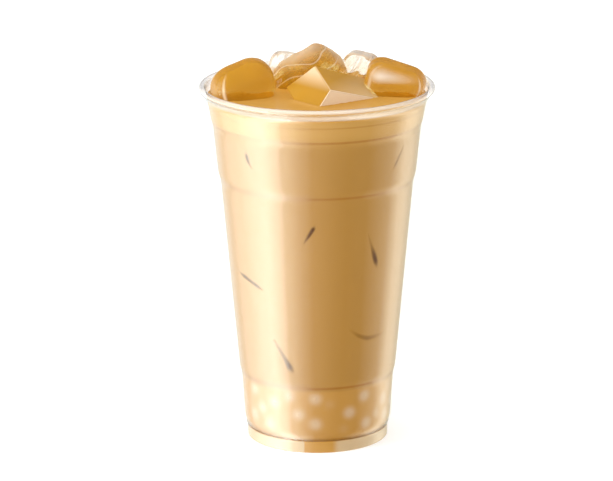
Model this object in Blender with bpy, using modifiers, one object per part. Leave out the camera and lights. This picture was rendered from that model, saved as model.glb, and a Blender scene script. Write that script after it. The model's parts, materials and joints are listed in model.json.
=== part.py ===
"""An iced milk tea with small white pearls in a clear plastic cup, filled to just under the rim.

Metres, +Z up. The cup stands on z = 0 round the Z axis, and its front is towards -Y. The cup, the
tea, the heap of pearls on its floor and each piece of ice are solids of their own. The drink ends
on top of the pearls, and the liquid between the pearls has no solid.
"""

import math
import random

import bmesh
import bpy
from mathutils import Vector

MM = 0.001

# The cup: a drawn plastic wall with a rolled rim, four steps and a clear foot skirt
CUP_HEIGHT = 151.0 * MM
RIM_RADIUS = 49.0 * MM
RIM_ROLL = 1.3 * MM
# Where the roll leaves the wall's inner side and where it ends under the rim, in degrees
ROLL_START, ROLL_END = 190, -80
WALL = 0.7 * MM
FOOT_RADIUS = 29.5 * MM
FOOT_ROUNDING = 0.5 * MM
FOOT_RING = 2.2 * MM
FLOOR_TOP = 3.4 * MM
FLOOR_THICKNESS = 1.0 * MM
FLOOR_CORNER = 0.6 * MM
RECESS_DRAFT = 0.4
# Height and outer radius where the wall bends, from the foot skirt up to the neck
SKIRT_TOP = (4.5 * MM, 29.5 * MM)
BASE_STEP = [(6.0 * MM, 30.1 * MM), (7.8 * MM, 30.9 * MM), (9.6 * MM, 31.2 * MM)]
LOWER_STEP = [(26.6 * MM, 32.3 * MM), (30.8 * MM, 33.3 * MM)]
SHOULDER_STEP = [(110.6 * MM, 40.6 * MM), (114.2 * MM, 41.7 * MM)]
NECK_STEP = [(134.0 * MM, 43.7 * MM), (136.6 * MM, 44.5 * MM)]
NECK_TOP = (145.0 * MM, 46.0 * MM)
TURN_STEPS = 48
RIM_POINTS = 9
MERGE_DISTANCE = 0.01 * MM
SHARP_ANGLE = 35

# The contents
GAP = 0.3 * MM
TEA_LEVEL = 145.5 * MM
HEAP_TOP = 28.0 * MM
HEAP_WAIST = [26.0 * MM, 18.0 * MM, 10.0 * MM, 6.0 * MM]
HEAP_FOOT_RADIUS = 26.0 * MM
PEARL_RADIUS = 3.0 * MM
PEARL_SIDES = (9, 6)
PEARL_INSET = 0.15 * MM
CORE_INSET = 1.6 * MM
# The pearls that show at the front: degrees round from -Y towards +X, and height in millimetres
FRONT_PEARLS = [
    (-56, 24.8), (-22, 25.0), (-35, 21.4), (-2, 24.4), (38, 23.9), (61, 19.8), (-58, 13.6),
    (-15, 17.2), (25, 17.5), (65, 12.2), (-40, 11.4), (-2, 13.2), (41, 11.6), (16, 12.6),
]
# The others are drawn over the rest of the side, none nearer to another than a share of its size
PEARL_TURNS = (72, 288)
PEARL_BAND = (10.5, 25.0)
PEARL_DRAWS = 400
PEARL_APART = 1.12
PEARL_SEED = 5

# Each piece of ice in millimetres and degrees: its middle, its edges, how far it is turned round
# X, Y and Z, the shares of its edges left at its top, the share left at its far end, and the
# rounding of its edges
ICE = {
    "ice_left": ((-30.4, 0.2, 149.6), (25.1, 21.0, 21.8), (12, -19.7, 18), (1.1, 0.82), 1.0, 8.4),
    "ice_right": ((31.7, 3.6, 149.1), (22.4, 17.0, 20.2), (14, 18.8, -2), (1.17, 0.9), 1.0, 6.0),
    "ice_front": ((9.8, -3.6, 146.3), (25.2, 35.9, 15.6), (16.8, -25.5, 115), (0.66, 0.74), 0.83, 0.9),
    "ice_centre": ((-3.6, 18.5, 150.6), (35.0, 20.0, 21.6), (12, -26.5, 4), (0.76, 0.8), 1.0, 8.4),
    "ice_back_left": ((-13.4, 32.0, 147.8), (16.6, 14.0, 19.0), (0, 15, 24), (0.8, 0.8), 1.0, 4.8),
    "ice_back_right": ((18.2, 29.4, 148.2), (17.8, 15.0, 19.0), (6, 8, -18), (0.8, 0.8), 1.0, 4.8),
    "ice_back": ((2.2, 36.2, 146.4), (17.0, 12.0, 17.0), (-8, 5, 8), (0.85, 0.85), 1.0, 3.5),
}
BEVEL_SEGMENTS = 3

CLEAR_PLASTIC = ((0.93, 0.95, 0.95), 0.05, 0.0)
MILK_TEA = ((0.62, 0.37, 0.16), 0.35, 0.0)
PEARL_WHITE = ((0.87, 0.80, 0.66), 0.3, 0.0)
ICE_AMBER = ((0.78, 0.50, 0.18), 0.08, 0.0)


def clear_scene():
    for thing in list(bpy.data.objects):
        bpy.data.objects.remove(thing, do_unlink=True)


def collection(name):
    made = bpy.data.collections.new(name)
    bpy.context.scene.collection.children.link(made)
    return made


def material(name, look):
    colour, roughness, metallic = look
    made = bpy.data.materials.new(name)
    made.use_nodes = True
    shader = made.node_tree.nodes["Principled BSDF"]
    shader.inputs["Base Color"].default_value = (*colour, 1.0)
    shader.inputs["Roughness"].default_value = roughness
    shader.inputs["Metallic"].default_value = metallic
    return made


def outer_wall():
    """The wall's outer side from the neck down to the foot skirt, as (radius, height) points."""
    rising = [SKIRT_TOP, *BASE_STEP, *LOWER_STEP, *SHOULDER_STEP, *NECK_STEP, NECK_TOP]
    return [(radius, height) for height, radius in reversed(rising)]


def rim_roll():
    """The rolled rim, from where it leaves the wall's inner side over the top to its outer side."""
    middle_radius, middle_height = RIM_RADIUS - RIM_ROLL, CUP_HEIGHT - RIM_ROLL
    first, last = math.radians(ROLL_START), math.radians(ROLL_END)
    points = []
    for step in range(RIM_POINTS):
        angle = first + (last - first) * step / (RIM_POINTS - 1)
        points.append(
            (middle_radius + RIM_ROLL * math.cos(angle), middle_height + RIM_ROLL * math.sin(angle))
        )
    return points


def foot_ring():
    """The underside: the skirt's flat foot and the shallow recess inside it, ending at the axis."""
    under = FLOOR_TOP - FLOOR_THICKNESS
    inner = FOOT_RADIUS - FOOT_RING
    return [
        (FOOT_RADIUS, FOOT_ROUNDING),
        (FOOT_RADIUS - FOOT_ROUNDING, 0.0),
        (inner, 0.0),
        (inner - under * RECESS_DRAFT, under),
        (0.0, under),
    ]


def inner_wall(clearance=0.0):
    """The wall's inner side from the floor up to the neck, moved in by a clearance."""
    inset = WALL + clearance
    return [(radius - inset, height) for radius, height in reversed(outer_wall())]


def inner_radius(height, clearance=0.0):
    """The radius of the wall's inner side at a height."""
    wall = inner_wall(clearance)
    for (low_radius, low), (high_radius, high) in zip(wall, wall[1:]):
        if height <= high:
            share = (height - low) / (high - low)
            return low_radius + (high_radius - low_radius) * share
    return wall[-1][0]


def turned(name, profile, target):
    """A closed solid turned from (radius, height) points whose two ends lie on the axis."""
    mesh = bpy.data.meshes.new(name)
    points = [(radius, 0.0, height) for radius, height in profile]
    mesh.from_pydata(points, [(i, i + 1) for i in range(len(points) - 1)], [])
    made = bpy.data.objects.new(name, mesh)
    target.objects.link(made)
    screw = made.modifiers.new("Turn", "SCREW")
    screw.steps = screw.render_steps = TURN_STEPS
    screw.use_merge_vertices = True
    screw.merge_threshold = MERGE_DISTANCE
    screw.use_smooth_shade = True
    return made


def applied(thing, name, target):
    """A mesh object that holds another object's shape with its modifiers applied."""
    view = bpy.context.evaluated_depsgraph_get()
    mesh = bpy.data.meshes.new_from_object(thing.evaluated_get(view))
    made = bpy.data.objects.new(name, mesh)
    made.matrix_world = thing.matrix_world.copy()
    target.objects.link(made)
    return made


def make_cup(parts):
    floor = [(0.0, FLOOR_TOP), (FOOT_RADIUS - WALL - FLOOR_CORNER, FLOOR_TOP)]
    profile = [*floor, *inner_wall(), *rim_roll(), *outer_wall(), *foot_ring()]
    return turned("cup", profile, parts)


def ice_block(name, target, grow=0.0):
    """A block with rounded edges, narrower at its top. A cutter is the block grown by the gap."""
    middle, edges, turn, top_shares, end_share, rounding = ICE[name]
    mesh = bpy.data.meshes.new(name)
    shape = bmesh.new()
    bmesh.ops.create_cube(shape, size=1.0)
    for corner in shape.verts:
        shares = [*top_shares, 1.0] if corner.co.z > 0 else [1.0, 1.0, 1.0]
        if corner.co.y < 0:
            shares[0] *= end_share
            shares[2] *= end_share
        for axis, share in enumerate(shares):
            corner.co[axis] *= edges[axis] * share * MM + 2 * grow
    shape.to_mesh(mesh)
    shape.free()
    made = bpy.data.objects.new(name + ("_pocket" if grow else ""), mesh)
    made.location = [value * MM for value in middle]
    made.rotation_euler = [math.radians(angle) for angle in turn]
    target.objects.link(made)
    bevel = made.modifiers.new("Rounded", "BEVEL")
    bevel.width = rounding * MM
    bevel.segments = BEVEL_SEGMENTS
    bevel.limit_method = "NONE"
    return made


def cut(thing, cutter):
    """Cuts a cutter out of a solid and keeps the cutter as a hidden guide."""
    cutter.hide_render = True
    cutter.display_type = "WIRE"
    boolean = thing.modifiers.new("Cut", "BOOLEAN")
    boolean.operation = "DIFFERENCE"
    boolean.object = cutter
    boolean.solver = "EXACT"


def make_ice(parts, cutters):
    """The pile. Where two pieces would meet, the one behind is cut back round the one in front."""
    blocks = {name: ice_block(name, parts) for name in ICE}
    pockets = {name: ice_block(name, cutters, GAP) for name in ICE}
    in_front = {
        "ice_centre": ["ice_left", "ice_front"],
        "ice_right": ["ice_front"],
        "ice_back_left": ["ice_centre", "ice_left"],
        "ice_back_right": ["ice_centre", "ice_right"],
        "ice_back": ["ice_centre", "ice_back_left", "ice_back_right"],
    }
    for name, others in in_front.items():
        for other in others:
            cut(blocks[name], pockets[other])
    return blocks, pockets


def make_tea(parts, pockets):
    """The drink from the top of the pearls to its level, clear of the wall and of the ice."""
    bottom = HEAP_TOP + GAP
    wall = [
        (radius, height) for radius, height in inner_wall(GAP) if bottom < height < TEA_LEVEL
    ]
    side = [(inner_radius(TEA_LEVEL, GAP), TEA_LEVEL), *reversed(wall)]
    side.append((inner_radius(bottom, GAP), bottom))
    tea = turned("milk_tea", [(0.0, TEA_LEVEL), *side, (0.0, bottom)], parts)
    for pocket in pockets.values():
        cut(tea, pocket)
    return tea


def pearl_middle(degrees, height):
    """Where a pearl lies against the wall, at an angle from the front and a height in mm."""
    turn = math.radians(degrees)
    out = inner_radius(height * MM, GAP + PEARL_INSET) - PEARL_RADIUS
    return Vector((out * math.sin(turn), -out * math.cos(turn), height * MM))


def pearl_places():
    """The middles of the pearls of the heap's side: those at the front, then the drawn ones."""
    draw = random.Random(PEARL_SEED)
    places = [pearl_middle(degrees, height) for degrees, height in FRONT_PEARLS]
    for _ in range(PEARL_DRAWS):
        place = pearl_middle(draw.uniform(*PEARL_TURNS), draw.uniform(*PEARL_BAND))
        nearest = min((place - other).length for other in places)
        if nearest > 2 * PEARL_RADIUS * PEARL_APART:
            places.append(place)
    return places


def make_pearls(parts):
    """The heap: a plain core with the pearls of its side fused on by one union."""
    bottom = FLOOR_TOP + GAP
    side = [(inner_radius(height, GAP) - CORE_INSET, height) for height in [HEAP_TOP, *HEAP_WAIST]]
    profile = [(0.0, HEAP_TOP), *side, (HEAP_FOOT_RADIUS, bottom), (0.0, bottom)]
    core = turned("pearl_core", profile, parts)
    heap = applied(core, "pearls", parts)
    bpy.data.objects.remove(core, do_unlink=True)
    loose = collection("loose_pearls")
    sides, rings = PEARL_SIDES
    for place in pearl_places():
        mesh = bpy.data.meshes.new("pearl")
        shape = bmesh.new()
        bmesh.ops.create_uvsphere(shape, u_segments=sides, v_segments=rings, radius=PEARL_RADIUS)
        shape.to_mesh(mesh)
        shape.free()
        pearl = bpy.data.objects.new("pearl", mesh)
        pearl.location = place
        loose.objects.link(pearl)
    union = heap.modifiers.new("Fuse", "BOOLEAN")
    union.operation = "UNION"
    union.operand_type = "COLLECTION"
    union.collection = loose
    union.solver = "EXACT"
    fused = applied(heap, "pearls_fused", parts)
    bpy.data.objects.remove(heap, do_unlink=True)
    fused.name = "pearls"
    for pearl in list(loose.objects):
        bpy.data.objects.remove(pearl, do_unlink=True)
    bpy.data.collections.remove(loose)
    return fused


def finish(thing, look):
    thing.data.materials.clear()
    thing.data.materials.append(look)
    thing.data.shade_smooth()
    thing.data.set_sharp_from_angle(angle=math.radians(SHARP_ANGLE))


def main():
    clear_scene()
    parts = collection("bubble_tea")
    cutters = collection("cutters")
    finish(make_cup(parts), material("clear plastic", CLEAR_PLASTIC))
    blocks, pockets = make_ice(parts, cutters)
    finish(make_tea(parts, pockets), material("milk tea", MILK_TEA))
    finish(make_pearls(parts), material("pearl white", PEARL_WHITE))
    for name, block in blocks.items():
        finish(block, material("ice " + name, ICE_AMBER))


main()
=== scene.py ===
# %% [markdown]
# # An iced milk tea with pearls
#
# This lesson dresses a clear plastic cup of milk tea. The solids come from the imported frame: a cup,
# the tea, a heap of white pearls and seven pieces of ice. Each of them gets a finer piece here, in
# the same place and of the same form, and a finish that looks like the real thing.
#
# The drink is opaque and the cup is clear, so almost all that is seen of the wall is the tea that
# touches it. The ice is the showy part: glassy blocks, tinted by the tea that runs off them.

# %% Load the frame
import json
import math
import random

import bmesh
import bpy
import numpy as np
from mathutils import Euler, Matrix, Vector, noise
from mathutils.bvhtree import BVHTree

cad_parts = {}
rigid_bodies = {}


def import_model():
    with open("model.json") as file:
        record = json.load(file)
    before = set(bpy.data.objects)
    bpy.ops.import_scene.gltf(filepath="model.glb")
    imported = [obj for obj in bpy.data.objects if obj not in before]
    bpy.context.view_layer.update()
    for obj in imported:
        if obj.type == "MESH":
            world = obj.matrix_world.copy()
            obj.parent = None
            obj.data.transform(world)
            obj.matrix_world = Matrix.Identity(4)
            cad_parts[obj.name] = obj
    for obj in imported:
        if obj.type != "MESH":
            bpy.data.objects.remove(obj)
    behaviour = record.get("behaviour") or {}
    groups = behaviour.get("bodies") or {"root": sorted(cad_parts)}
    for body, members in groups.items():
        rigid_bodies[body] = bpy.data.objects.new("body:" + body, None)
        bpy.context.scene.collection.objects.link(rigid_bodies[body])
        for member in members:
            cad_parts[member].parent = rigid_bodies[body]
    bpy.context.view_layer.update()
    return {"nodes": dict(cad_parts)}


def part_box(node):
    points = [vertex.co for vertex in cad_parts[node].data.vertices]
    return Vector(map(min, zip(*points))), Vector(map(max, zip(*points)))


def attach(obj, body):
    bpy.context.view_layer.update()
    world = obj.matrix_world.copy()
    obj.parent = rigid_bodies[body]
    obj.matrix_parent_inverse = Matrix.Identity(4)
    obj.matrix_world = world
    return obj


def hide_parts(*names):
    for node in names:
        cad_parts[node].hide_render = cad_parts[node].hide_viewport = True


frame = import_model()
nodes = frame["nodes"]
MM = 0.001
scene = bpy.context.scene
print("solids:", sorted(nodes))

# %% [markdown]
# ## Writing shaders as sums
#
# A node tree is easier to read as plain Python. `Shade` wraps one socket and turns `+`, `-`, `*`
# and `/` into Math nodes. `Finish` holds one material, and its `node` method makes any other node
# from its type, its settings and the values or links of its sockets.


# %% A socket that can be reckoned with
class Shade:
    """One output socket. Plain operators on it add Math nodes."""

    def __init__(self, finish, socket):
        self.finish = finish
        self.socket = socket

    def math(self, operation, *values, clamp=False):
        inputs = dict(enumerate(values))
        settings = {"operation": operation, "use_clamp": clamp}
        return self.finish.node("ShaderNodeMath", settings, inputs)

    def __add__(self, other):
        return self.math("ADD", self, other)

    def __sub__(self, other):
        return self.math("SUBTRACT", self, other)

    def __rsub__(self, other):
        return self.math("SUBTRACT", other, self)

    def __mul__(self, other):
        return self.math("MULTIPLY", self, other)

    def __truediv__(self, other):
        return self.math("DIVIDE", self, other)

    def __pow__(self, other):
        return self.math("POWER", self, other)

    __radd__ = __add__
    __rmul__ = __mul__


# %% A finish and its nodes
class Finish:
    """One node tree, of a material or of the world."""

    def __init__(self, name, owner=None):
        self.owner = owner or bpy.data.materials.new(name)
        self.owner.use_nodes = True
        self.tree = self.owner.node_tree
        self.tree.nodes.clear()

    def node(self, kind, settings=None, inputs=None, out=0):
        made = self.tree.nodes.new(kind)
        for name, value in (settings or {}).items():
            if name == "stops":
                self.set_stops(made.color_ramp, value)
            else:
                setattr(made, name, value)
        for name, value in (inputs or {}).items():
            self.feed(made.inputs[name], value)
        return Shade(self, made.outputs[out])

    def feed(self, socket, value):
        if isinstance(value, Shade):
            self.tree.links.new(value.socket, socket)
        elif isinstance(value, tuple) and len(value) == 3 and socket.type == "RGBA":
            socket.default_value = (*value, 1.0)
        else:
            socket.default_value = value

    def set_stops(self, ramp, stops):
        while len(ramp.elements) > 1:
            ramp.elements.remove(ramp.elements[-1])
        for index, (place, colour) in enumerate(stops):
            element = ramp.elements[0] if index == 0 else ramp.elements.new(place)
            element.position = place
            element.color = (*colour, 1.0)

    def blend(self, factor, first, second):
        """A colour between two colours."""
        settings = {"data_type": "RGBA"}
        inputs = {0: factor, 6: first, 7: second}
        return self.node("ShaderNodeMix", settings, inputs, 2)

    def mix(self, factor, first, second):
        """A shader between two shaders."""
        return self.node("ShaderNodeMixShader", None, {0: factor, 1: first, 2: second})

    def clear(self, colour):
        """Light that goes straight through, tinted by a fixed colour."""
        return self.node("ShaderNodeBsdfTransparent", None, {"Color": colour})

    def matt(self, colour):
        """A dull surface of a fixed colour."""
        return self.node("ShaderNodeBsdfDiffuse", None, {"Color": colour})

    def place(self, output="Object"):
        return self.node("ShaderNodeTexCoord", None, None, output)

    def clouds(self, size, detail=3.0, roughness=0.5):
        """Soft noise of a size in metres, from 0 to 1."""
        inputs = {"Vector": self.place(), "Scale": 1.0 / size, "Detail": detail, "Roughness": roughness}
        return self.node("ShaderNodeTexNoise", None, inputs)

    def height(self):
        """Height over the floor in metres."""
        return self.node("ShaderNodeSeparateXYZ", None, {0: self.place()}, "Z")

    def round_share(self):
        """How far round the axis a point is, from 0 at the back through 0.5 at the front to 1."""
        across, ahead = (self.node("ShaderNodeSeparateXYZ", None, {0: self.place()}, axis) for axis in "XY")
        return across.math("ARCTAN2", across, ahead * -1.0) / (2 * math.pi) + 0.5

    def ramp(self, value, stops):
        """A level that runs from the first stop to the last, smoothly."""
        (low, first), (high, last) = stops
        inputs = {"Value": value, "From Min": low, "From Max": high, "To Min": first, "To Max": last}
        return self.node("ShaderNodeMapRange", {"interpolation_type": "SMOOTHSTEP"}, inputs)

    def line(self, height, middle, width):
        """1 on a ring round the cup at a height, falling to 0 at a width from it."""
        off = (height - middle) / width
        return (1.0 - off * off).math("MAXIMUM", 1.0 - off * off, 0.0)

    def bump(self, height, depth, strength=1.0, normal=None):
        inputs = {"Height": height, "Distance": depth, "Strength": strength}
        if normal:
            inputs["Normal"] = normal
        return self.node("ShaderNodeBump", None, inputs)

    def show(self, surface, volume=None):
        inputs = {"Surface": surface}
        if volume:
            inputs["Volume"] = volume
        self.node_out("ShaderNodeOutputMaterial", inputs)
        return self.owner

    def node_out(self, kind, inputs):
        made = self.tree.nodes.new(kind)
        for name, value in inputs.items():
            self.feed(made.inputs[name], value)


print("shader helpers ready")

# %% [markdown]
# ## The wall's shape
#
# The cup is a turned shape, so one curve holds it: the wall's radius at each height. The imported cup
# already has that curve where its mesh crosses the +X half plane. Reading it there keeps the two
# models in step. The solid bends at corners, and a drawn plastic wall bends softly, so the curve is
# smoothed by a narrow bell curve before it is used.

# %% Read the wall's curve from the solid
cup_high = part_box("cup")[1]
RIM_RADIUS = cup_high.x
RIM_TOP = cup_high.z
RIM_ROLL = 1.3 * MM
WALL = 0.7 * MM


def wall_pairs():
    """(height, outer radius) where the solid's wall has an inner and an outer point."""
    radii = {}
    for vertex in nodes["cup"].data.vertices:
        if abs(vertex.co.y) < 0.01 * MM and vertex.co.x > 0:
            radii.setdefault(round(vertex.co.z / MM, 2), []).append(vertex.co.x)
    pairs = [(z * MM, max(r)) for z, r in sorted(radii.items()) if 0.5 * MM < max(r) - min(r) < 0.9 * MM]
    return [pair for pair in pairs if pair[0] < RIM_TOP - 4 * RIM_ROLL]


WALL_CURVE = wall_pairs()
SKIRT_TOP = WALL_CURVE[0][0]
NECK_TOP = WALL_CURVE[-1][0]
print("wall bends at", [round(z / MM, 1) for z, _ in WALL_CURVE])

# %% Smooth it
CURVE_STEP = 0.1 * MM
SOFTNESS = 0.7 * MM
curve_z = np.arange(-10 * MM, RIM_TOP + 10 * MM, CURVE_STEP)
first, second = WALL_CURVE[-2], WALL_CURVE[-1]
flare = (second[1] - first[1]) / (second[0] - first[0])
beyond = (RIM_TOP, second[1] + flare * (RIM_TOP - second[0]))
known = np.array([*WALL_CURVE, beyond])
raw = np.interp(curve_z, known[:, 0], known[:, 1])
reach = np.arange(-4 * SOFTNESS, 4 * SOFTNESS, CURVE_STEP)
bell = np.exp(-0.5 * (reach / SOFTNESS) ** 2)
curve_r = np.convolve(np.pad(raw, len(bell) // 2, mode="edge"), bell / bell.sum(), "same")
curve_r = curve_r[len(bell) // 2 : len(bell) // 2 + len(raw)]


def outer_radius(height):
    return float(np.interp(height, curve_z, curve_r))


def inner_radius(height):
    return outer_radius(height) - WALL


print("radius at half height:", round(outer_radius(RIM_TOP / 2) / MM, 2), "mm")

# %% Heights that follow the bends
COARSE, FINE, NEAR_BEND = 1.5 * MM, 0.5 * MM, 2.2 * MM


def heights(low, high, fine_band=None):
    """Heights from low to high, close together near the wall's bends and in a band."""
    made, height = [low], low
    bends = [z for z, _ in WALL_CURVE]
    while height < high:
        near = min(abs(height - bend) for bend in bends) < NEAR_BEND
        in_band = fine_band and fine_band[0] < height < fine_band[1]
        height += FINE if near or in_band else COARSE
        made.append(min(height, high))
    return made


print(len(heights(SKIRT_TOP, NECK_TOP)), "rows from skirt to neck")

# %% [markdown]
# ## Turned pieces
#
# A turned piece is a list of (radius, height) points, swept round the axis. Both ends lie on the
# axis, where all columns meet in one point, so the shape is closed. Writing the grid directly is as
# short as a Screw modifier, and it keeps the columns where a later step can move them.

# %% Sweep a profile
COLUMNS = 240


def new_piece(name, points, faces):
    mesh = bpy.data.meshes.new(name)
    mesh.from_pydata([tuple(point) for point in points], [], faces)
    mesh.update()
    mesh.shade_smooth()
    made = bpy.data.objects.new(name, mesh)
    scene.collection.objects.link(made)
    return made


def turned(name, profile, columns=COLUMNS):
    """A closed solid from (radius, height) points that start and end on the axis."""
    rings = profile[1:-1]
    points = []
    for radius, height in rings:
        for column in range(columns):
            turn = 2 * math.pi * column / columns
            points.append((radius * math.cos(turn), radius * math.sin(turn), height))
    start, end = len(points), len(points) + 1
    points += [(0, 0, profile[0][1]), (0, 0, profile[-1][1])]
    faces = []
    last = (len(rings) - 1) * columns
    for column in range(columns):
        after = (column + 1) % columns
        faces.append((start, column, after))
        faces.append((end, last + after, last + column))
        for ring in range(len(rings) - 1):
            row, below = ring * columns, (ring + 1) * columns
            faces.append((row + column, below + column, below + after, row + after))
    return new_piece(name, points, faces)


def finish_piece(piece, material, slot, *replaced):
    """Gives a piece its material, its place on the body and the solids that it stands for."""
    piece.data.materials.clear()
    piece.data.materials.append(material)
    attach(piece, "root")
    if replaced:
        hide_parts(*replaced)
    print(piece.name, "has", len(piece.data.polygons), "faces")


# %% [markdown]
# ## The clear plastic
#
# Thin clear plastic hardly bends light, so it is made from a see-through shader with a mirror over
# it, mixed by Fresnel. Real glass shading would be slower and noisier, and it would throw a dark
# shadow into the drink. Towards its outline the plastic is seen edge on, where it darkens a little.

# %% Plastic finish
PLASTIC_IOR = 1.5
PLASTIC_SHEEN = 0.06
RIM_MILK = (0.90, 0.84, 0.76)
# A milky line along the rim's roll, partly milky plastic and partly a painted highlight
ROLL_HIGHLIGHT_HEIGHT, ROLL_HIGHLIGHT_WIDTH = 150.15 * MM, 0.75 * MM
FACE_TINT, EDGE_TINT, RIM_EDGE_TINT = (0.994, 0.994, 0.992), (0.96, 0.955, 0.94), (0.30, 0.26, 0.25)
# The foot's colours are painted light: pale for light mirrored at its sides, amber for the tea's light
FOOT_PALE_PAINTED_LIGHT = (0.585, 0.42, 0.235)
FOOT_AMBER_PAINTED_LIGHT = (0.52, 0.27, 0.055)
# A thin brown line of painted shade at the wall's step above the foot
BASE_SHADE_HEIGHT, BASE_SHADE_WIDTH, BASE_SHADE_BROWN = 5.3 * MM, 0.6 * MM, (0.33, 0.15, 0.03)
FOOT_LIGHT_PATCHES, PATCH_START = 3.0, 0.598
RIM_FROM, FOOT_TO = 148.4 * MM, 5.4 * MM
ABOVE_TEA = 145.6 * MM
# How cloudy the plastic is above the tea, at the rim, along the roll's line and at the foot. Along
# the roll's line it is partly a painted highlight, and at the foot it carries painted light.
ABOVE_MILKINESS, RIM_MILKINESS, ROLL_MILK_AND_HIGHLIGHT, FOOT_MILK_AND_PAINTED_LIGHT = 0.22, 0.04, 0.42, 0.85
BASE_SHADE_SHARE = 0.45
# Where a patch of the foot's amber painted light starts and ends, in shares of its own third of the
# round
PATCH_RISE, PATCH_FALL = (0.0, 0.012), (0.19, 0.25)


def clear_plastic():
    finish = Finish("clear plastic")
    height = finish.height()
    facing = finish.node("ShaderNodeLayerWeight", None, {"Blend": 0.5}, "Facing")
    at_rim = finish.ramp(height, [(RIM_FROM - 0.5 * MM, 0.0), (RIM_FROM, 1.0)])
    edge = finish.mix(at_rim, finish.clear(EDGE_TINT), finish.clear(RIM_EDGE_TINT))
    see_through = finish.mix(facing**3.0, finish.clear(FACE_TINT), edge)
    # Painted highlight along the roll's line, over its milky plastic
    roll_milk_and_highlight = finish.line(height, ROLL_HIGHLIGHT_HEIGHT, ROLL_HIGHLIGHT_WIDTH)
    wave = finish.bump(finish.clouds(18 * MM, 1.0), 0.15 * MM, 0.35)
    gloss = finish.node(
        "ShaderNodeBsdfGlossy", None, {"Color": (1, 1, 1), "Roughness": PLASTIC_SHEEN, "Normal": wave}
    )
    fresnel = finish.node("ShaderNodeFresnel", None, {"IOR": PLASTIC_IOR, "Normal": wave})
    inside = finish.node("ShaderNodeNewGeometry", None, None, "Backfacing")
    mirror = fresnel * (1.0 - inside)
    share = finish.round_share() * FOOT_LIGHT_PATCHES + PATCH_START
    within = share.math("FRACT", share)
    start, end = ([(first, 0.0), (last, 1.0)] for first, last in (PATCH_RISE, PATCH_FALL))
    # Patches of the tea's amber painted light round the foot, between pale painted light
    painted_light_patches = finish.ramp(within, start) * (1.0 - finish.ramp(within, end))
    at_foot = finish.ramp(height, [(FOOT_TO - 0.5 * MM, 1.0), (FOOT_TO, 0.0)])
    # Painted shade along the step above the foot
    base_shade = finish.line(height, BASE_SHADE_HEIGHT, BASE_SHADE_WIDTH)
    foot = finish.mix(painted_light_patches, finish.matt(FOOT_PALE_PAINTED_LIGHT), finish.matt(FOOT_AMBER_PAINTED_LIGHT))
    above_tea = finish.ramp(height, [(ABOVE_TEA, 0.0), (ABOVE_TEA + 0.8 * MM, 1.0)])
    milk = finish.mix(above_tea, foot, finish.matt(RIM_MILK))
    cloudy = (above_tea - at_rim) * ABOVE_MILKINESS + at_rim * RIM_MILKINESS
    cloudy = cloudy + roll_milk_and_highlight * ROLL_MILK_AND_HIGHLIGHT + at_foot * FOOT_MILK_AND_PAINTED_LIGHT
    thin = finish.mix(cloudy, see_through, milk)
    mirrored = finish.mix(mirror, thin, gloss)
    return finish.show(finish.mix(base_shade * BASE_SHADE_SHARE, mirrored, finish.matt(BASE_SHADE_BROWN)))


plastic = clear_plastic()
print("finish:", plastic.name)

# %% [markdown]
# ## The cup
#
# The profile runs from the middle of the floor up the inner wall, round the rolled rim, down the
# outer wall to the foot, and back to the axis under the shallow recess.

# %% Cup
FLOOR_TOP = 3.4 * MM
RECESS_TOP = 2.4 * MM
FOOT_RING = 2.2 * MM
FOOT_ROUND = 0.5 * MM
FILLET = 0.6 * MM
# Where the rim's roll starts and ends, in degrees
ROLL_START, ROLL_END = 190, -80


def arc(middle, radius, first, last, count):
    """Points on a circle in the (radius, height) plane, from one angle to another in degrees."""
    points = []
    for step in range(count):
        angle = math.radians(first + (last - first) * step / (count - 1))
        points.append((middle[0] + radius * math.cos(angle), middle[1] + radius * math.sin(angle)))
    return points


def cup_profile():
    foot = outer_radius(0)
    inner_foot = foot - WALL
    side = heights(FLOOR_TOP + FILLET, NECK_TOP)
    floor = [(0, FLOOR_TOP), (inner_foot * 0.5, FLOOR_TOP)]
    floor += arc((inner_foot - FILLET, FLOOR_TOP + FILLET), FILLET, -90, -10, 5)
    inner = [(inner_radius(z), z) for z in side]
    rim = arc((RIM_RADIUS - RIM_ROLL, RIM_TOP - RIM_ROLL), RIM_ROLL, ROLL_START, ROLL_END, 20)
    outer = [(outer_radius(z), z) for z in reversed(heights(FOOT_ROUND, NECK_TOP))]
    under = arc((foot - FOOT_ROUND, FOOT_ROUND), FOOT_ROUND, -15, -90, 4)
    ring = foot - FOOT_RING
    recess = [(ring, 0), (ring - 0.3 * MM, 0.5 * MM), (ring - RECESS_TOP * 0.4, RECESS_TOP)]
    return [*floor, *inner, *rim, *outer, *under, *recess, (ring * 0.5, RECESS_TOP), (0, RECESS_TOP)]


cup = turned("cup_shell", cup_profile())
finish_piece(cup, plastic, "clear_plastic", "cup")

# %% [markdown]
# ## The ice
#
# Each piece is a block with rounded edges, a little narrower or wider at its top. A grid on a cube is
# pulled onto the rounded box: a point is clamped to an inner box, and pushed out from there by the
# rounding. That gives true round edges with even faces, which clear ice needs, because every dent in
# its mesh shows in what it refracts. A slow noise then makes the faces uneven, as melting does.

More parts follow.
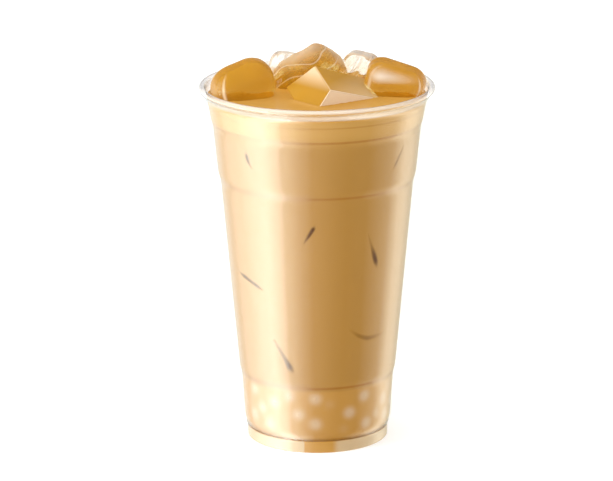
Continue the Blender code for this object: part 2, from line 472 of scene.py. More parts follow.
# %% Sizes of the blocks
# The middle and the edges in mm, the turn in degrees, the shares of the edges left at the top and
# at the far end, the rounding in mm, and how much the faces wave in mm
ICE = {
    "ice_left": ((-30.4, 0.2, 149.6), (25.1, 21.0, 21.8), (12, -19.7, 18), (1.1, 0.82), 1.0, 9.2, 0.25),
    "ice_right": ((31.7, 3.6, 149.1), (22.4, 17.0, 20.2), (14, 18.8, -2), (1.17, 0.9), 1.0, 6.4, 0.25),
    "ice_front": ((9.8, -3.6, 146.3), (25.2, 35.9, 15.6), (16.8, -25.5, 115), (0.66, 0.74), 0.83, 0.8, 0.1),
    "ice_centre": ((-3.6, 18.5, 150.6), (35.0, 20.0, 21.6), (12, -26.5, 4), (0.76, 0.8), 1.0, 9.4, 1.1),
    "ice_back_left": ((-13.4, 32.0, 147.8), (16.6, 14.0, 19.0), (0, 15, 24), (0.8, 0.8), 1.0, 5.0, 0.4),
    "ice_back_right": ((18.2, 29.4, 148.2), (17.8, 15.0, 19.0), (6, 8, -18), (0.8, 0.8), 1.0, 5.0, 0.4),
    "ice_back": ((2.2, 36.2, 146.4), (17.0, 12.0, 17.0), (-8, 5, 8), (0.85, 0.85), 1.0, 3.5, 0.3),
}
CUT_BY = {
    "ice_centre": ["ice_left", "ice_front"],
    "ice_right": ["ice_front"],
    "ice_back_left": ["ice_centre", "ice_left"],
    "ice_back_right": ["ice_centre", "ice_right"],
    "ice_back": ["ice_centre", "ice_back_left", "ice_back_right"],
}
ICE_GRID = 44
WAVE_SIZE = 9.0 * MM
WRINKLE_SIZE, WRINKLE_SHARE = 3.6 * MM, 0.4
print(len(ICE), "pieces of ice")


# %% [markdown]
# ## White faces and pale edges: frost and painted highlights
#
# Melting ice is whiter on some faces than on others. Here that white is partly frost and partly a
# painted reflection on faces that catch the light, and an edge's thin pale line is a painted highlight.
# The rounded box knows which face each of its points belongs to, so the white is worked out there
# and stored on the mesh, and the finish reads it.

# %% Where the ice is white, from frost and painted highlights
# How white each face is near the tea and near its top, partly frost and partly a painted reflection
# on the faces that catch the light, and how white and how sharp the painted highlight line is along
# an edge between two faces. A face's white is cut off at both ends of its range, so it can start or
# stop part way up.
FROST_AND_SHEEN_FACES = {
    "ice_left": {"-x": (0.16, 0.34)},
    "ice_right": {"-y": (-1.6, 1.5), "+x": (0.2, 0.3)},
    "ice_front": {"+y": (-0.45, 0.42), "-x": (0.93, 0.80), "+z": (0.34, -0.1)},
    "ice_centre": {"+z": (-0.1, 0.2), "+x": (0.0, 0.2)},
    "ice_back_left": {"-y": (0.1, 0.35), "-x": (0.2, 0.4), "+z": (0.2, 0.4)},
    "ice_back_right": {"-y": (-0.3, 0.5), "+x": (0.1, 0.3), "+z": (0.1, 0.3)},
    "ice_back": {},
}
EDGE_HIGHLIGHTS = {
    "ice_left": {"-x-y": (0.95, 36)},
    "ice_right": {"-x-y": (0.3, 12), "+x-y": (0.6, 30)},
    "ice_front": {"-x+y": (1.0, 3), "-x+z": (0.9, 3), "+y+z": (0.3, 3)},
}
FROST_AND_SHEEN_MOST = 0.92
FROST_AND_SHEEN_HEIGHT = 12.0 * MM
TEA_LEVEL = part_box("milk_tea")[1].z
print("white faces:", {name: sorted(faces) for name, faces in FROST_AND_SHEEN_FACES.items()})


# %% Pull a grid onto a rounded box
def rounded_place(point, half, rounding):
    """Where a point of a box's surface lies once the box's edges are rounded, and its normal."""
    inner = Vector([max(-h + rounding, min(h - rounding, p)) for p, h in zip(point, half)])
    normal = (point - inner).normalized()
    return inner + normal * rounding, normal


def grid_cube(count):
    """A cube of edge 2 with count faces along each edge, closer together near the edges."""
    shape = bmesh.new()
    bmesh.ops.create_cube(shape, size=2.0)
    bmesh.ops.subdivide_edges(shape, edges=shape.edges[:], cuts=count - 1, use_grid_fill=True)
    for vertex in shape.verts:
        vertex.co = Vector([math.sin(value * math.pi / 2) for value in vertex.co])
    return shape


def facing(normal):
    """How much a point of the rounded box belongs to each face; the shares add up to 1."""
    return {("-" if part < 0 else "+") + axis: part * part for part, axis in zip(normal, "xyz")}


def frost_and_highlight_at(name, shares, height):
    """How white the ice is at a point, from frost and painted highlight: its face, its height over the tea
    and the nearest edge.
    """
    up = max(0.0, min(1.0, (height - TEA_LEVEL) / FROST_AND_SHEEN_HEIGHT))
    white = 0.0
    for face, (low, high) in FROST_AND_SHEEN_FACES[name].items():
        white += shares.get(face, 0.0) ** 2 * max(0.0, min(FROST_AND_SHEEN_MOST, low + (high - low) * up))
    for pair, (strength, sharpness) in EDGE_HIGHLIGHTS.get(name, {}).items():
        one, other = shares.get(pair[:2], 0.0), shares.get(pair[2:], 0.0)
        belongs = one + other
        even = 4 * one * other / max(belongs, 0.01) ** 2
        white = max(white, strength * even**sharpness * belongs)
    return min(1.0, white)


def ice_mesh(name, grow=0.0, count=ICE_GRID):
    middle, edges, turn, top_shares, end_share, rounding, wave = ICE[name]
    half = [edge * MM / 2 + grow for edge in edges]
    seed = Vector((sum(map(ord, name)) * 0.37, 1.7, 4.1))
    shape = grid_cube(count)
    shares = []
    for vertex in shape.verts:
        box_point = Vector([value * h for value, h in zip(vertex.co, half)])
        place, normal = rounded_place(box_point, half, rounding * MM + grow)
        shares.append(facing(normal))
        up = (place.z / half[2] + 1) / 2
        far = (1 - place.y / half[1]) / 2
        tops = [1 + (share - 1) * up for share in top_shares]
        end = 1 + (end_share - 1) * far
        vertex.co = Vector((place.x * tops[0] * end, place.y * tops[1], place.z * end))
    shape.normal_update()
    normals = [vertex.normal.copy() for vertex in shape.verts]
    for vertex, normal in zip(shape.verts, normals):
        dent = noise.noise(vertex.co / WAVE_SIZE + seed)
        fine = noise.noise(vertex.co / WRINKLE_SIZE - seed)
        vertex.co += normal * (dent * wave + fine * wave * WRINKLE_SHARE) * MM
    turned_round = Euler([math.radians(angle) for angle in turn]).to_matrix().to_4x4()
    shape.transform(Matrix.Translation(Vector(middle) * MM) @ turned_round)
    # White of frost and painted highlight at each point
    frost = [frost_and_highlight_at(name, share, vertex.co.z) for share, vertex in zip(shares, shape.verts)]
    mesh = bpy.data.meshes.new(name)
    shape.to_mesh(mesh)
    shape.free()
    mesh.attributes.new("frost", "FLOAT", "POINT").data.foreach_set("value", frost)
    mesh.shade_smooth()
    return mesh


# %% [markdown]
# ## Blocks that meet
#
# Where two blocks touch, one is cut back by the other with a hair of room, so that clear ice never
# lies inside clear ice, which would shade wrongly. The same cut makes the pockets in the tea, a hair
# tighter than the ice, so that no gap shows there.

# %% Cut one solid with others
def with_cuts(piece, cutters):
    """Cuts a piece with meshes and keeps only the plain result."""
    group = bpy.data.collections.new("cutters")
    for mesh in cutters:
        group.objects.link(bpy.data.objects.new("cutter", mesh))
    cut = piece.modifiers.new("cut", "BOOLEAN")
    cut.operation, cut.operand_type, cut.solver = "DIFFERENCE", "COLLECTION", "EXACT"
    cut.collection = group
    scene.collection.children.link(group)
    view = bpy.context.evaluated_depsgraph_get()
    mesh = bpy.data.meshes.new_from_object(piece.evaluated_get(view))
    piece.modifiers.clear()
    piece.data = mesh
    for cutter in list(group.objects):
        bpy.data.objects.remove(cutter, do_unlink=True)
    bpy.data.collections.remove(group)
    return piece


# %% Make the pile
ICE_GAP = 0.15 * MM
CUTTER_GRID = 20
ice_pieces = {}
for name in ICE:
    block = bpy.data.objects.new(name + "_block", ice_mesh(name))
    scene.collection.objects.link(block)
    if name in CUT_BY:
        with_cuts(block, [ice_mesh(other, ICE_GAP, CUTTER_GRID) for other in CUT_BY[name]])
    ice_pieces[name] = block
print("pile:", {name: len(piece.data.vertices) for name, piece in ice_pieces.items()})

# %% [markdown]
# ## The finish of the ice
#
# Ice bends light less than glass does, and tea that clings to it and melts into it tints it amber.
# A volume that absorbs light gives thick parts a deeper colour than thin edges. Light that looks
# for a lamp passes straight through, so that the tea under the ice isn't black. The lumpy pieces
# have folds: a wave pattern bends their surface, and draws a thin pale line of painted highlight on
# each crest and a brown one of painted shade in each dip.


# %% Ice finish
ICE_IOR = 1.31
AMBER = (0.99, 0.85, 0.02)
PALE = (0.99, 0.96, 0.88)
# Whites of frost and painted highlight on the ice
FROST_AND_SHEEN_CREAM = (0.84, 0.70, 0.50)
FROST_AND_SHEEN_ROSE = (0.99, 0.86, 0.68)
FROST_AND_SHEEN_WHITE = (0.88, 0.85, 0.78)
# Brown of the painted shade in each fold's dip
FOLD_SHADE_BROWN = (0.36, 0.17, 0.035)
SHADE_TINT = (0.90, 0.84, 0.70)
RIPPLE_SIZE, RIPPLE_DEPTH = 6 * MM, 0.25 * MM
CREST_HIGHLIGHT_SHARP, DIP_SHADE_SHARP = 45.0, 24.0


def ice_finish(name, tint, density, haze, haze_share, white, roughness=0.05, wrinkle=None):
    finish = Finish(name)
    ripple = finish.bump(finish.clouds(RIPPLE_SIZE, 2.0), RIPPLE_DEPTH, 0.5)
    frost = finish.node("ShaderNodeAttribute", {"attribute_name": "frost"}, None, "Fac")
    if wrinkle:
        size, turn, depth, lines = wrinkle
        way = finish.node("ShaderNodeMapping", None, {"Vector": finish.place(), "Rotation": turn})
        bands = {"Vector": way, "Scale": 0.3 / size, "Distortion": 6.0, "Detail": 1.0, "Detail Scale": 0.9}
        folds = finish.node("ShaderNodeTexWave", None, bands)
        ripple = finish.bump(folds, depth, 0.8, ripple)
        # Painted highlight on each crest, and painted shade in each dip
        frost = frost.math("MAXIMUM", frost, folds**CREST_HIGHLIGHT_SHARP * lines)
        dip_shade = (1.0 - folds) ** DIP_SHADE_SHARP * lines
    glass = finish.node(
        "ShaderNodeBsdfPrincipled",
        None,
        {
            "Base Color": (1.0, 0.99, 0.97),
            "Roughness": roughness,
            "IOR": ICE_IOR,
            "Specular IOR Level": 0.3,
            "Transmission Weight": 1.0,
            "Normal": ripple,
        },
    )
    hazy = finish.mix(haze_share, glass, finish.matt(haze))
    if wrinkle:
        hazy = finish.mix(dip_shade, hazy, finish.matt(FOLD_SHADE_BROWN))
    # Frost, with painted sheen on some faces and painted highlights along edges and folds
    rimmed = finish.mix(frost, hazy, finish.matt(white))
    lamp_ray = finish.node("ShaderNodeLightPath", None, None, "Is Shadow Ray")
    bounce_ray = finish.node("ShaderNodeLightPath", None, None, "Is Diffuse Ray")
    depth = finish.node("ShaderNodeVolumeAbsorption", None, {"Color": tint, "Density": density})
    passing = lamp_ray.math("MAXIMUM", lamp_ray, bounce_ray)
    return finish.show(finish.mix(passing, rimmed, finish.clear(SHADE_TINT)), depth)


AMBER_HAZE = (0.56, 0.30, 0.022)
TAN_HAZE = (0.52, 0.28, 0.035)
WHITE_HAZE = (0.80, 0.77, 0.70)
# Size of a fold, how the pattern is turned, depth of a fold, and how strong its lines of painted
# highlight and painted shade are
FOLDS = (4.8 * MM, (0.0, 2.03, 0.0), 0.5 * MM, 0.32)
FAINT_FOLDS = (5.0 * MM, (0.3, 2.6, 0.2), 0.4 * MM, 0.35)
ICE_LOOKS = {
    "ice_left": ice_finish("amber ice", AMBER, 62.0, AMBER_HAZE, 0.4, FROST_AND_SHEEN_CREAM, 0.15),
    "ice_right": ice_finish("golden ice", AMBER, 55.0, AMBER_HAZE, 0.35, FROST_AND_SHEEN_WHITE, 0.12),
    "ice_front": ice_finish("tan ice", AMBER, 60.0, TAN_HAZE, 0.68, FROST_AND_SHEEN_ROSE, 0.12),
    "ice_centre": ice_finish("lumpy ice", AMBER, 58.0, AMBER_HAZE, 0.38, FROST_AND_SHEEN_WHITE, 0.06, FOLDS),
}
clear_ice = ice_finish("clear ice", PALE, 14.0, WHITE_HAZE, 0.12, FROST_AND_SHEEN_WHITE, 0.05, FAINT_FOLDS)
for name in ("ice_back_left", "ice_back_right", "ice_back"):
    ICE_LOOKS[name] = clear_ice
for name, piece in ice_pieces.items():
    finish_piece(piece, ICE_LOOKS[name], "ice", name)

# %% [markdown]
# ## Where the pearls lie
#
# Only the pearls that lie at the wall show. Those at the front are placed as seen, by their angle and
# height, and a seeded draw fills the sides and the back. Each of these touches the wall, so the tea
# between pearl and wall thins to nothing at one spot. A second draw sets more of them a little way
# in, all round, where they are faint. Both draws keep clear of the pearls placed before.

# %% Pearl places
PEARL_RADIUS = 3.0 * MM
# Degrees round from the front and height in mm, of each pearl that shows there
FRONT_PEARLS = [
    (-56, 24.8), (-22, 25.0), (-35, 21.4), (-2, 24.4), (38, 23.9), (61, 19.8), (-58, 13.6),
    (-15, 17.2), (25, 17.5), (65, 12.2), (-40, 11.4), (-2, 13.2), (41, 11.6), (-48, 17.6),
]
PEARL_BAND = (10.5, 25.0)
BACK_TURNS, ALL_TURNS = (72, 288), (0, 360)
PEARL_DRAWS = 400
PEARL_APART = 1.12
PEARL_DEEPER = 1.6 * MM
PEARL_UNEVEN = 0.03
PEARL_SEED = 5
TEA_IN_WALL = 0.15 * MM
PEARL_IN_WALL = 0.3 * MM


def pearl_middle(degrees, height):
    turn = math.radians(degrees)
    out = inner_radius(height * MM) + PEARL_IN_WALL - PEARL_RADIUS
    return Vector((out * math.sin(turn), -out * math.cos(turn), height * MM))


def pearl_places():
    draw = random.Random(PEARL_SEED)
    places = [pearl_middle(degrees, height) for degrees, height in FRONT_PEARLS]

    def drop(turns, apart, back=0.0):
        for _ in range(PEARL_DRAWS):
            place = pearl_middle(draw.uniform(*turns), draw.uniform(*PEARL_BAND))
            inward = Vector((-place.x, -place.y, 0)).normalized()
            place += inward * back * draw.uniform(0.4, 1.0)
            nearest = min((place - other).length for other in places)
            if nearest > 2 * PEARL_RADIUS * apart:
                places.append(place)

    drop(BACK_TURNS, PEARL_APART)
    drop(ALL_TURNS, 1.0, PEARL_DEEPER)
    return places


pearls_at = pearl_places()
print(len(pearls_at), "pearls along the wall")

# %% [markdown]
# ## The tea
#
# One closed solid fills the cup from its floor to its level. Its side reaches just into the wall,
# so no air shows between them. Its top is a fine disc that rises a little where it meets the wall
# and the ice, and each piece of ice is cut out of it. The solid of the frame ends on top of the
# pearls; here the liquid goes on down between them.

# %% Tea solid
TEA_IN_FLOOR = 0.2 * MM
ICE_IN_TEA = 0.1 * MM
MENISCUS = 0.9 * MM
MENISCUS_REACH = 1.3 * MM
SWELL_SIZE, SWELL_HEIGHT, SWELL_FROM = 14 * MM, 0.25 * MM, 4 * MM
TOP_RINGS = 60
BAND = (8.0 * MM, 30.0 * MM)


def tea_profile():
    bottom = FLOOR_TOP - TEA_IN_FLOOR
    top = inner_radius(TEA_LEVEL) + TEA_IN_WALL
    disc = [(top * ring / TOP_RINGS, TEA_LEVEL) for ring in range(TOP_RINGS + 1)]
    side = [(inner_radius(z) + TEA_IN_WALL, z) for z in reversed(heights(bottom, TEA_LEVEL, BAND))]
    return [*disc, *side[1:], (side[-1][0] * 0.5, bottom), (0, bottom)]


tea = turned("tea", tea_profile())
print("tea level at", round(TEA_LEVEL / MM, 1), "mm")

# %% Let the surface rise at the wall and the ice
def nearest_ice(trees, point):
    return min(tree.find_nearest(point)[3] for tree in trees)


def raise_meniscus(piece):
    trees = []
    for block in ice_pieces.values():
        corners = [vertex.co for vertex in block.data.vertices]
        trees.append(BVHTree.FromPolygons(corners, [tuple(p.vertices) for p in block.data.polygons]))
    wall = inner_radius(TEA_LEVEL)
    for vertex in piece.data.vertices:
        if vertex.co.z > TEA_LEVEL - 0.01 * MM:
            radius = math.hypot(vertex.co.x, vertex.co.y)
            to_wall = max(0.0, wall - radius)
            near = min(to_wall, nearest_ice(trees, vertex.co))
            swell = noise.noise(vertex.co / SWELL_SIZE) * SWELL_HEIGHT * min(1.0, near / SWELL_FROM)
            vertex.co.z += MENISCUS * math.exp(-near / MENISCUS_REACH) + swell


raise_meniscus(tea)
with_cuts(tea, [ice_mesh(name, -ICE_IN_TEA, CUTTER_GRID) for name in ICE])
print("tea with pockets:", len(tea.data.vertices), "points")


# %% How much tea hides each point
VEIL_DEPTH, VEIL_POWER = 0.85 * MM, 1.4


def set_veil(piece, values):
    """Stores, for each point, how far the tea hides what lies there: 0 is bare and 1 is hidden."""
    veil = piece.data.attributes.new("veil", "FLOAT", "POINT")
    veil.data.foreach_set("value", np.asarray(values, dtype=np.float32))


def tea_veil():
    points = np.zeros(len(tea.data.vertices) * 3)
    tea.data.vertices.foreach_get("co", points)
    points = points.reshape(-1, 3)
    gap = np.full(len(points), 1.0)
    for place in pearls_at:
        distance = np.linalg.norm(points - np.array(place), axis=1) - PEARL_RADIUS
        gap = np.minimum(gap, np.maximum(distance, 0))
    return 1 - np.exp(-((gap / VEIL_DEPTH) ** VEIL_POWER))


set_veil(tea, tea_veil())
tea.data.shade_smooth()
print("veil over", len(pearls_at), "pearls")

# %% [markdown]
# ## The finish of the tea
#
# Milk tea is opaque, so its colour sits at its surface. The plastic over it mirrors the room, so the
# tea itself needs only a weak, soft sheen. A veil value, stored on the mesh, lets the white of a
# pearl come through where only a thin film of tea covers it.

# %% Tea finish
TEA_COLOUR = (0.345, 0.171, 0.034)
TEA_PALE = (0.365, 0.190, 0.042)
TEA_NEAR_TOP = (0.46, 0.252, 0.062)
GLOW_FROM, GLOW_TO = 131.5 * MM, 140.5 * MM
TEA_AMONG_PEARLS = (0.41, 0.207, 0.043)
# Painted light: the tea's top surface is lighter than its side, for the light falling on it from above
TEA_TOP_PAINTED_LIGHTER = (0.515, 0.267, 0.056)
# The tea's darker colour for the painted shade along the wall's steps
TEA_STEP_SHADE = (0.26, 0.085, 0.008)
PEARL_COLOUR = (0.48, 0.32, 0.18)
# Painted shade: the near black where sunken ice almost touches the wall
SUNKEN_ICE_SHADE = (0.075, 0.020, 0.0)
PEARL_TOP = 27.8 * MM
# Height and half width in mm, and strength, of the lines of painted shade along the wall's steps
WALL_STEP_SHADES = [(142.6, 0.5, 0.3), (136.2, 0.7, 0.5), (112.0, 0.7, 0.5), (28.8, 0.7, 0.65), (5.8, 0.7, 0.25)]


def milky(finish, under, tea_colour):
    """A colour under tea, mixed by the mesh's own veil value."""
    veil = finish.node("ShaderNodeAttribute", {"attribute_name": "veil"}, None, "Fac")
    return finish.blend(veil, under, tea_colour)


def wet_tea(name, under, shine=0.2):
    finish = Finish(name)
    clouds = finish.clouds(40 * MM, 3.0)
    tea_colour = finish.blend(clouds, TEA_COLOUR, TEA_PALE)
    height = finish.height()
    glow = finish.ramp(height, [(GLOW_FROM, 0.0), (GLOW_TO, 1.0)])
    tea_colour = finish.blend(glow, tea_colour, TEA_NEAR_TOP)
    among = finish.ramp(height, [(PEARL_TOP - 1.0 * MM, 1.0), (PEARL_TOP, 0.0)])
    tea_colour = finish.blend(among, tea_colour, TEA_AMONG_PEARLS)
    # Painted light on the tea's top surface
    on_top = finish.ramp(height, [(TEA_LEVEL - 0.6 * MM, 0.0), (TEA_LEVEL - 0.2 * MM, 1.0)])
    tea_colour = finish.blend(on_top, tea_colour, TEA_TOP_PAINTED_LIGHTER)
    # Painted shade where the wall steps
    for middle, width, strength in WALL_STEP_SHADES:
        line = finish.line(height, middle * MM, width * MM) * strength
        tea_colour = finish.blend(line, tea_colour, TEA_STEP_SHADE)
    return finish.show(
        finish.node(
            "ShaderNodeBsdfPrincipled",
            None,
            {
                "Base Color": milky(finish, under, tea_colour),
                "Roughness": 0.25,
                "IOR": 1.33,
                "Specular IOR Level": shine,
            },
        )
    )


milk_tea = wet_tea("milk tea", PEARL_COLOUR)
finish_piece(tea, milk_tea, "milk_tea", "milk_tea")

# %% [markdown]
# ## The pearls
#
# A pearl is a small soft ball, and the heap repeats it, so Geometry Nodes place it: a point for each
# pearl, an icosphere on each point, a little uneven in size. The result is turned into a plain
# mesh, because an export drops instances.


# %% Pearls from a node tree
def pearl_tree():
    tree = bpy.data.node_groups.new("pearls on points", "GeometryNodeTree")
    face = tree.interface
    face.new_socket("Geometry", in_out="INPUT", socket_type="NodeSocketGeometry")
    radius = face.new_socket("Radius", in_out="INPUT", socket_type="NodeSocketFloat")
    uneven = face.new_socket("Uneven", in_out="INPUT", socket_type="NodeSocketFloat")
    look = face.new_socket("Look", in_out="INPUT", socket_type="NodeSocketMaterial")
    face.new_socket("Geometry", in_out="OUTPUT", socket_type="NodeSocketGeometry")
    start, end = tree.nodes.new("NodeGroupInput"), tree.nodes.new("NodeGroupOutput")
    ball = tree.nodes.new("GeometryNodeMeshIcoSphere")
    ball.inputs["Subdivisions"].default_value = 4
    size = tree.nodes.new("FunctionNodeRandomValue")
    size.inputs["Seed"].default_value = 3
    smallest = tree.nodes.new("ShaderNodeMath")
    smallest.operation = "SUBTRACT"
    smallest.inputs[0].default_value = 1.0
    spread = tree.nodes.new("GeometryNodeInstanceOnPoints")
    whole = tree.nodes.new("GeometryNodeRealizeInstances")
    smooth = tree.nodes.new("GeometryNodeSetShadeSmooth")
    dress = tree.nodes.new("GeometryNodeSetMaterial")
    link = tree.links.new
    link(start.outputs["Radius"], ball.inputs["Radius"])
    link(start.outputs["Uneven"], smallest.inputs[1])
    link(smallest.outputs[0], size.inputs[2])
    link(start.outputs["Geometry"], spread.inputs["Points"])
    link(ball.outputs["Mesh"], spread.inputs["Instance"])
    link(size.outputs[1], spread.inputs["Scale"])
    link(spread.outputs["Instances"], whole.inputs["Geometry"])
    link(whole.outputs["Geometry"], smooth.inputs["Geometry"])
    link(smooth.outputs["Geometry"], dress.inputs["Geometry"])
    link(start.outputs["Look"], dress.inputs["Material"])
    link(dress.outputs["Geometry"], end.inputs["Geometry"])
    return tree, {"radius": radius.identifier, "uneven": uneven.identifier, "look": look.identifier}


def grown_pearls(places, material):
    piece = new_piece("pearl_balls", places, [])
    grow = piece.modifiers.new("grow", "NODES")
    grow.node_group, sockets = pearl_tree()
    grow[sockets["radius"]] = PEARL_RADIUS
    grow[sockets["uneven"]] = PEARL_UNEVEN
    grow[sockets["look"]] = material
    view = bpy.context.evaluated_depsgraph_get()
    mesh = bpy.data.meshes.new_from_object(piece.evaluated_get(view))
    piece.modifiers.clear()
    piece.data = mesh
    return piece


def pearl_veil(piece):
    """A pearl is bare where it touches the wall, and the tea hides it as it curves away."""
    values = []
    for vertex in piece.data.vertices:
        depth = inner_radius(vertex.co.z) + TEA_IN_WALL - math.hypot(vertex.co.x, vertex.co.y)
        values.append(1 - math.exp(-((max(0.0, depth) / VEIL_DEPTH) ** VEIL_POWER)))
    return values


pearl_look = wet_tea("white pearls", PEARL_COLOUR)
pearls = grown_pearls(pearls_at, pearl_look)
set_veil(pearls, pearl_veil(pearls))
finish_piece(pearls, pearl_look, "pearls", "pearls")

# %% [markdown]
# ## Sunken ice
#
# Ice goes on under the tea. Where a corner of it almost touches the wall, a dark sliver of painted
# shade shows. Each sliver is a thin lens that follows the wall and rises a hair above the tea's side.
# Its veil value is 1 at its edges, so the painted shade fades into the tea without a seam.

# %% Slivers at the wall
# Degrees round from the front, height in mm, half width in mm and darkness of the painted shade,
# along each sliver
SLIVERS = {
    "upper_left": [(-43.2, 129.9, 0.5, 0.0), (-42.5, 127.9, 1.5, 1.0), (-41.8, 126.0, 1.2, 0.8),
                   (-39.4, 122.9, 0.6, 0.0)],
    "upper_right": [(56.2, 131.2, 0.4, 0.0), (54.1, 128.3, 0.7, 0.5), (49.5, 123.4, 0.8, 0.6),
                    (47.2, 121.2, 0.5, 0.0)],
    "middle": [(-1.5, 100.8, 0.5, 0.0), (-2.5, 99.3, 1.3, 1.0), (-5.4, 96.0, 1.0, 0.95),
               (-8.8, 92.7, 0.6, 0.2)],
    "right": [(32.8, 95.6, 0.5, 0.0), (35.3, 90.4, 0.9, 0.3), (38.2, 85.4, 1.7, 1.0),
              (39.8, 82.6, 1.7, 1.0), (41.4, 79.8, 0.7, 0.0)],
    "left": [(-60.2, 75.1, 0.6, 0.3), (-55.0, 74.3, 1.3, 1.0), (-48.8, 73.1, 1.0, 0.8),
             (-42.5, 71.6, 1.2, 0.9), (-38.0, 70.4, 0.6, 0.0)],
    "lower": [(-32.0, 49.6, 0.6, 0.0), (-28.0, 45.9, 1.2, 0.4), (-24.0, 41.8, 1.3, 0.6),
              (-20.2, 38.1, 2.0, 1.0), (-17.4, 35.6, 0.9, 0.0)],
    "lower_right": [(21.8, 54.7, 0.7, 0.0), (28.7, 51.3, 1.2, 0.35), (36.3, 49.4, 1.5, 0.5),
                    (44.6, 49.3, 1.2, 0.3), (53.2, 50.7, 0.6, 0.0)],
}
SLIVER_RISE, SLIVER_TUCK, SLIVER_DEPTH = 0.10 * MM, 0.04 * MM, 0.4 * MM
ALONG, ACROSS = 48, 14


def smooth_path(stops, count):
    """Even steps along a path whose stops hold any numbers, eased by cosines."""
    table = np.array(stops)
    steps = np.linspace(0, len(stops) - 1, count)
    rows = [np.interp(steps, range(len(stops)), column) for column in table.T]
    bell = np.hanning(9)
    soft = [np.convolve(np.pad(row, 4, mode="edge"), bell / bell.sum(), "valid") for row in rows]
    return np.array(soft).T


def sliver(name, stops):
    path = smooth_path(stops, ALONG)
    points, veil = [], []
    for layer in (1, -1):
        for index, (degrees, height, half, dark) in enumerate(path):
            before, after = path[max(0, index - 1)], path[min(ALONG - 1, index + 1)]
            wide = math.radians(after[0] - before[0]) * inner_radius(height * MM) / MM
            tall = after[1] - before[1]
            size = math.hypot(wide, tall) or 1.0
            for column in range(ACROSS + 1):
                across = 2 * column / ACROSS - 1
                z = (height + across * half * wide / size) * MM
                shift = -across * half * tall / size * MM
                radius = inner_radius(z) + TEA_IN_WALL
                turn = math.radians(degrees) + shift / radius
                round_off = 1 - across * across
                radius += SLIVER_RISE * round_off - SLIVER_TUCK if layer > 0 else -SLIVER_DEPTH
                points.append((radius * math.sin(turn), -radius * math.cos(turn), z))
                veil.append(1 - dark * round_off**1.3)
    row, sheet = ACROSS + 1, ALONG * (ACROSS + 1)
    faces = []
    for index in range(ALONG - 1):
        for column in range(ACROSS):
            a = index * row + column
            faces += [(a, a + 1, a + row + 1, a + row)]
            faces += [(sheet + a, sheet + a + row, sheet + a + row + 1, sheet + a + 1)]
    outline = [*range(row)] + [i * row + ACROSS for i in range(1, ALONG)]
    outline += [(ALONG - 1) * row + c for c in range(ACROSS - 1, -1, -1)]
    outline += [i * row for i in range(ALONG - 2, 0, -1)]
    for here, there in zip(outline, outline[1:] + outline[:1]):
        faces.append((there, here, sheet + here, sheet + there))
    made = new_piece("sunken_" + name, points, faces)
    shape = bmesh.new()
    shape.from_mesh(made.data)
    bmesh.ops.recalc_face_normals(shape, faces=shape.faces)
    shape.to_mesh(made.data)
    shape.free()
    set_veil(made, veil)
    return made


# Slivers of painted shade where sunken ice almost touches the wall
sunken_shade_look = wet_tea("painted shade of sunken ice", SUNKEN_ICE_SHADE, 0.0)
for name, stops in SLIVERS.items():
    finish_piece(sliver(name, stops), sunken_shade_look, "ice")

# %% [markdown]
# ## Stage, light and camera
#
# The floor is plain and almost white, and the world lights the cup evenly from all round. Reflections
# get a world of their own: bright at the left like a large soft box, dark beside the camera, and pale
# again at the right. Straight below it is brown, as the foot's own shadow is. A third world is what
# shows through the ice, and it darkens straight above.

# %% Floor
FLOOR_SIZE = 30.0
floor = new_piece(
    "floor",
    [(x * FLOOR_SIZE, y * FLOOR_SIZE, 0) for x, y in ((-1, -1), (1, -1), (1, 1), (-1, 1))],
    [(0, 1, 2, 3)],
)
paper = Finish("pale floor")
sheet = paper.node(
    "ShaderNodeBsdfPrincipled", None, {"Base Color": (0.9, 0.9, 0.9), "Roughness": 0.9,
     "Emission Color": (1, 1, 1, 1), "Emission Strength": 0.25},
)
floor.data.materials.append(paper.show(sheet))
floor.visible_glossy = False
print("floor of", 2 * FLOOR_SIZE, "m")


# %% World
SKY = 1.07
# Degrees round from the camera, positive to the left, and how bright the reflected world is there
REFLECTED = [
    (-180, 0.8), (-152, 1.0), (-142, 1.5), (-128, 2.8), (-116, 3.6), (-105, 3.0), (-96, 1.9), (-84, 1.4),
    (-70, 0.7), (-62, 0.2), (-37, 0.05), (-22, 0.3), (-8, 0.7), (6, 1.1), (20, 3.0), (34, 5.6), (41, 6.6),
    (47, 10.4), (65, 13.8), (83, 10.7), (104, 5.8), (131, 2.0), (180, 0.8),
]
LEFT_TINT, RIGHT_TINT = (0.85, 0.925, 0.90), (0.96, 0.95, 0.80)
BRIGHTEST = 14.0
ROOF = 0.80
BELOW = (0.62, 0.45, 0.28)


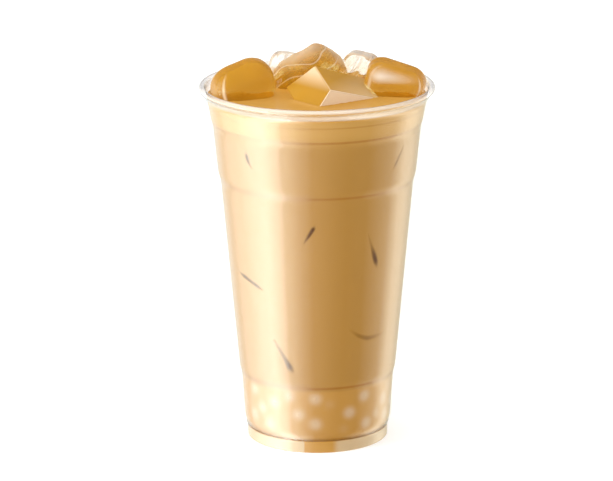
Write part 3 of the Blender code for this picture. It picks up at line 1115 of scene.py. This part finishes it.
def studio():
    world = Finish("studio", bpy.data.worlds.new("studio"))
    way = world.place("Generated")
    across, ahead, up = (world.node("ShaderNodeSeparateXYZ", None, {0: way}, axis) for axis in "XYZ")
    turn = across.math("ARCTAN2", across * -1.0, ahead * -1.0) / (2 * math.pi) + 0.5
    stops = []
    for degrees, level in REFLECTED:
        tint = LEFT_TINT if degrees > 0 else RIGHT_TINT
        stops.append(((degrees + 180) / 360, [level / BRIGHTEST * part for part in tint]))
    around = world.node("ShaderNodeValToRGB", {"stops": stops}, {0: turn})
    light = {"Color": around, "Strength": BRIGHTEST}
    sides = world.node("ShaderNodeBackground", None, light)
    roof = world.node("ShaderNodeBackground", None, {"Color": (1, 1, 1), "Strength": ROOF})
    mirrored = world.mix(world.ramp(up, [(-0.12, 0.0), (0.16, 1.0)]), sides, roof)
    below = world.node("ShaderNodeBackground", None, {"Color": BELOW, "Strength": 1.0})
    mirrored = world.mix(world.ramp(up, [(-0.99, 1.0), (-0.93, 0.0)]), mirrored, below)
    dim = world.ramp(up, [(0.35, 1.05), (0.95, 0.35)])
    through = world.node("ShaderNodeBackground", None, {"Color": (1, 1, 1), "Strength": dim})
    plain = world.node("ShaderNodeBackground", None, {"Color": (1, 1, 1), "Strength": SKY})
    mirror_ray = world.node("ShaderNodeLightPath", None, None, "Is Glossy Ray")
    glass_ray = world.node("ShaderNodeLightPath", None, None, "Is Transmission Ray")
    seen = world.mix(glass_ray, world.mix(mirror_ray, plain, mirrored), through)
    world.node_out("ShaderNodeOutputWorld", {"Surface": seen})
    return world.owner


scene.world = studio()
print("world ready")


# %% Lamps
def soft_lamp(name, place, size, power, colour, target=(0, 0, 0.09)):
    lamp = bpy.data.lights.new(name, "AREA")
    lamp.color = colour
    lamp.shape, lamp.size, lamp.size_y = "RECTANGLE", size[0], size[1]
    lamp.energy = power
    made = bpy.data.objects.new(name, lamp)
    made.location = place
    aim = Vector(target) - Vector(place)
    made.rotation_euler = aim.to_track_quat("-Z", "Y").to_euler()
    made.visible_glossy = False
    scene.collection.objects.link(made)
    return made


soft_lamp("key", (-1.3, -0.5, 0.6), (0.8, 0.8), 17.0, (1.0, 1.0, 0.96))
soft_lamp("top", (0.1, 0.1, 1.2), (0.9, 0.9), 1.5, (1.0, 1.0, 1.0))
print("two soft lamps: one at the left, one on top")

# %% Camera
CAMERA_RISE = 15.29
CAMERA_DISTANCE = 1.7
CAMERA_ROLL = -0.17
CAMERA_LENS = 238.5
AIM_HEIGHT = 75.5 * MM
AIM_LEFT, AIM_UP = 4.48 * MM, 8.03 * MM


def make_camera():
    data = bpy.data.cameras.new("camera")
    data.lens, data.sensor_width = CAMERA_LENS, 36.0
    made = bpy.data.objects.new("camera", data)
    rise, roll = math.radians(CAMERA_RISE), math.radians(CAMERA_ROLL)
    back = Vector((0, -math.cos(rise), math.sin(rise)))
    right = Vector((1, 0, 0))
    up = back.cross(right)
    aim = Vector((0, 0, AIM_HEIGHT)) - right * AIM_LEFT + up * AIM_UP
    axes = Matrix((
        right * math.cos(roll) + up * math.sin(roll),
        up * math.cos(roll) - right * math.sin(roll),
        back,
    )).transposed()
    made.matrix_world = Matrix.Translation(aim + back * CAMERA_DISTANCE) @ axes.to_4x4()
    scene.collection.objects.link(made)
    return made


scene.camera = make_camera()
scene.view_settings.view_transform = "Standard"
scene.cycles.transparent_max_bounces = 24
print("camera at", [round(value, 3) for value in scene.camera.matrix_world.translation])
